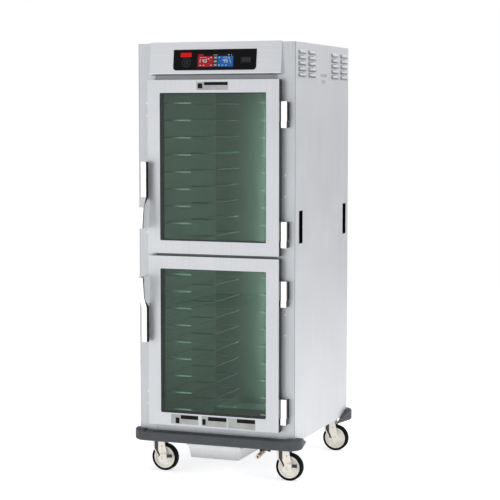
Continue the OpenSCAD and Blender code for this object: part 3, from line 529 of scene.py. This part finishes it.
def ring_mesh(name, x, z, radius, width, y, start, end, steps=28):
    """Flat arc drawn on the header."""
    bm = bmesh.new()
    rows = []
    for i in range(steps + 1):
        a = math.radians(start + (end - start) * i / steps)
        rows.append([
            bm.verts.new((x + r * math.cos(a), yy, z + r * math.sin(a)))
            for r, yy in ((radius, y), (radius + width, y), (radius + width, y + 0.6), (radius, y + 0.6))
        ])
    for p, q in zip(rows, rows[1:]):
        for i in range(4):
            j = (i + 1) % 4
            bm.faces.new((p[i], p[j], q[j], q[i]))
    if abs(end - start) < 360:
        bm.faces.new(rows[0])
        bm.faces.new(list(reversed(rows[-1])))
    return finish_mesh(bm, name, HEADER)


KEY_X = -131.5
KEY_Z = -12
key_ring = ring_mesh("key_ring", KEY_X, KEY_Z, 18.5, 1.8, -3.7, 0, 360, 48)
new_object("key_ring", key_ring, "icon", "cabinet")
power_arc = ring_mesh("power_arc", KEY_X, KEY_Z, 6.0, 1.5, -3.9, 125, 415)
new_object("power_arc", power_arc, "icon", "power_button")
header_plates("power_stroke", [(-132.3, -130.7, -10, -2)], -3.9, -3.4, "icon", 0.4, "power_button")
header_plates("badge_plate", [(-160, -108, 12, 31)], -2.6, -1.9, "badge", 2.5)
port_ribs = [(130 + i * 5, 132.4 + i * 5, -12, 6) for i in range(8)]
header_plates("port_ribs", port_ribs, -5.2, -4.6, "icon", 0.8, "usb_cover")


LOUVER_Y = (36, 172, 506, 646)
LOUVER_TOP = 1888
LOUVER_PITCH = 25
LOUVER_ROWS = 5
LOUVER_LENGTH = 104.0
LOUVER_HEIGHT = 18.0
LOUVER_OUT = 6.0


def louver_hood(bm, side, y0, top, across=8, along=14):
    """One pressed hood with rounded ends, closed at the top and open below."""
    grid = []
    for i in range(along + 1):
        t = i / along
        s = min(t, 1 - t) * LOUVER_LENGTH / (LOUVER_HEIGHT * 0.75)
        end = math.sqrt(max(0, 1 - (1 - min(1, s)) ** 2))
        line = []
        for j in range(across + 1):
            u = j / across
            bulge = math.sin(min(1, u * 1.15) * math.pi / 2) ** 0.8
            x = HALF_W + LOUVER_OUT * bulge * end * 0.99
            y = FRONT_Y / MM + y0 + t * LOUVER_LENGTH
            z = top - u * LOUVER_HEIGHT * (0.55 + 0.45 * end) - (1 - end) * LOUVER_HEIGHT * 0.22
            line.append(bm.verts.new((side * x, y, z)))
        grid.append(line)
    for a, b in zip(grid, grid[1:]):
        for j in range(across):
            bm.faces.new((a[j], a[j + 1], b[j + 1], b[j]))


def louver_hoods():
    """All hoods of both sides as one piece, in place of the plain CAD ones."""
    bm = bmesh.new()
    for side in (1, -1):
        for y0 in LOUVER_Y:
            for row in range(LOUVER_ROWS):
                louver_hood(bm, side, y0, LOUVER_TOP - row * LOUVER_PITCH)
    mesh = finish_mesh(bm, "louver_hoods")
    obj = new_object("louver_hoods", mesh, "louvre", "cabinet")
    mod = obj.modifiers.new("Thick", "SOLIDIFY")
    mod.thickness = 1.0 * MM
    mod.offset = -1
    shade_by_angle(obj, 50)
    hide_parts("side_louvers")


louver_hoods()

LEVEL = Matrix.Translation((0, FRONT_Y, 0))


def flat_plates(name, boxes, y0, y1, material, body, radius=0.8):
    """Thin rounded plates on an upright face, in millimetres from the door frame."""
    bm = bmesh.new()
    for x0, x1, z0, z1 in boxes:
        plate(bm, x0, x1, z0, z1, y0, y1, radius, 2)
    return new_object(name, finish_mesh(bm, name, LEVEL), material, body)


UPPER_LABELS = [(-74, 74, 1713, 1749)]
UPPER_BARS = [(-38, 72, 1734, 1747), (-68, -46, 1720, 1742)]
LOWER_LABELS = [(-200, -69, 234, 277), (-53, 66, 232, 277), (71, 200, 231, 277)]
LOWER_BARS = [(x0, x1, 258, 275) for x0, x1 in ((-153, -70), (-23, 65), (114, 199))]
LOWER_BARS += [(-178, -160, 237, 263), (-50, -34, 238, 264)]
for door, labels, bands in (("upper", UPPER_LABELS, UPPER_BARS), ("lower", LOWER_LABELS, LOWER_BARS)):
    flat_plates(door + "_label_plates", labels, -42.3, -41.9, "label", door + "_door")
    flat_plates(door + "_label_bars", bands, -42.45, -42.2, "label_bar", door + "_door")
flat_plates("corner_seams", [(-367.4, -366.2, 172.5, 1918.5), (366.2, 367.4, 172.5, 1918.5)],
            -0.25, 0.1, "gasket", "cabinet", 0)


def side_plates():
    """Two small blank plates between the louvres of the right side."""
    bm = bmesh.new()
    for y0, y1, z0, z1 in ((348, 438, 1775, 1789), (366, 419, 1746, 1761)):
        outline = ((y0, z0), (y1, z0), (y1, z1), (y0, z1))
        v = [bm.verts.new((x, FRONT_Y / MM + y, z)) for x in (367.4, 367.9) for y, z in outline]
        for quad in ((0, 1, 2, 3), (4, 5, 6, 7), (0, 1, 5, 4), (1, 2, 6, 5), (2, 3, 7, 6), (3, 0, 4, 7)):
            bm.faces.new([v[i] for i in quad])
    new_object("side_plates", finish_mesh(bm, "side_plates"), "label", "cabinet")


side_plates()


# ---------------------------------------------------------------- stage

def area(name, location, target, size, power, color=(1, 1, 1)):
    """Rectangular soft light aimed at a point."""
    data = bpy.data.lights.new(name, "AREA")
    data.shape = "RECTANGLE"
    data.size, data.size_y = size
    data.energy = power
    data.color = color
    obj = bpy.data.objects.new(name, data)
    scene.collection.objects.link(obj)
    obj.location = location
    obj.rotation_euler = (Vector(target) - Vector(location)).to_track_quat("-Z", "Y").to_euler()
    obj.visible_camera = False
    return obj


area("key_light", (-2.9, -5.6, 1.9), (0, 0, 1.0), (4.4, 3.6), 46)
area("fill_light", (4.6, -1.6, 2.7), (0, 0, 1.35), (2.8, 3.4), 64)
area("top_light", (0, 0.4, 5.0), (0, 0, 0), (3.5, 3.5), 40)
area("back_light", (1.0, 5.0, 2.8), (0, 0, 1.0), (3.0, 2.5), 26)
area("cavity_back_strip", (0.03, 0.26, 0.98), (0.03, 0.40, 0.98), (0.05, 1.45), 10.0, (0.58, 1.0, 0.74))
for side, name in ((-1, "left"), (1, "right")):
    area("slide_strip_" + name, (side * 0.15, -0.318, 0.98), (side * 0.15, 0.0, 0.98),
         (0.05, 1.45), 0.12, (0.72, 1.0, 0.84))


def add_floor():
    """Pale round floor, a little self-lit so that it stays white."""
    bm = bmesh.new()
    bmesh.ops.create_circle(bm, cap_ends=True, segments=96, radius=7.5)
    mesh = bpy.data.meshes.new("floor")
    bm.to_mesh(mesh)
    bm.free()
    floor = bpy.data.objects.new("floor", mesh)
    scene.collection.objects.link(floor)
    n = Nodes("floor_paint", (0.90, 0.90, 0.90), 0.9)
    n.bsdf.inputs["Specular IOR Level"].default_value = 0.1
    n.bsdf.inputs["Emission Color"].default_value = (1, 1, 1, 1)
    n.bsdf.inputs["Emission Strength"].default_value = 0.58
    floor.data.materials.append(n.mat)


def add_dark_card():
    """Black card behind the cabinet that only reflections see, as in a photo studio."""
    card = bpy.data.meshes.new("dark_card")
    bm = bmesh.new()
    bmesh.ops.create_grid(bm, x_segments=1, y_segments=1, size=0.5)
    bm.to_mesh(card)
    bm.free()
    flag = bpy.data.objects.new("dark_card", card)
    scene.collection.objects.link(flag)
    flag.scale = (1.05, 2.3, 1)
    flag.location = (1.78, 4.5, 1.15)
    flag.rotation_euler = (math.radians(90), 0, math.radians(-20.5))
    k = Nodes("card_black", (0.002, 0.002, 0.002), 1.0)
    k.bsdf.inputs["Specular IOR Level"].default_value = 0
    flag.data.materials.append(k.mat)
    flag.visible_camera = False
    flag.visible_diffuse = False
    flag.visible_shadow = False
    flag.visible_transmission = False


add_floor()
add_dark_card()


def add_world():
    """Pale surroundings that are plain white where the camera sees them."""
    world = bpy.data.worlds.new("studio")
    scene.world = world
    world.use_nodes = True
    tree = world.node_tree
    background = tree.nodes["Background"]
    background.inputs["Color"].default_value = (0.80, 0.81, 0.82, 1)
    background.inputs["Strength"].default_value = 0.60
    white = tree.nodes.new("ShaderNodeBackground")
    white.inputs["Color"].default_value = (1, 1, 1, 1)
    white.inputs["Strength"].default_value = 1.0
    path = tree.nodes.new("ShaderNodeLightPath")
    mix = tree.nodes.new("ShaderNodeMixShader")
    tree.links.new(path.outputs["Is Camera Ray"], mix.inputs["Fac"])
    tree.links.new(background.outputs["Background"], mix.inputs[1])
    tree.links.new(white.outputs["Background"], mix.inputs[2])
    tree.links.new(mix.outputs["Shader"], tree.nodes["World Output"].inputs["Surface"])
    scene.view_settings.view_transform = "Standard"
    scene.view_settings.look = "None"


CAMERA_AZIMUTH = 20.49
CAMERA_ELEVATION = 4.827


def add_camera():
    data = bpy.data.cameras.new("camera")
    camera = bpy.data.objects.new("camera", data)
    scene.collection.objects.link(camera)
    scene.camera = camera
    data.sensor_width = 36.0
    data.lens = 112.9
    data.clip_end = 100
    camera.location = (2.5468, -6.7325, 1.5936)
    camera.rotation_euler = (math.radians(90 - CAMERA_ELEVATION), 0, math.radians(CAMERA_AZIMUTH))


add_world()
add_camera()
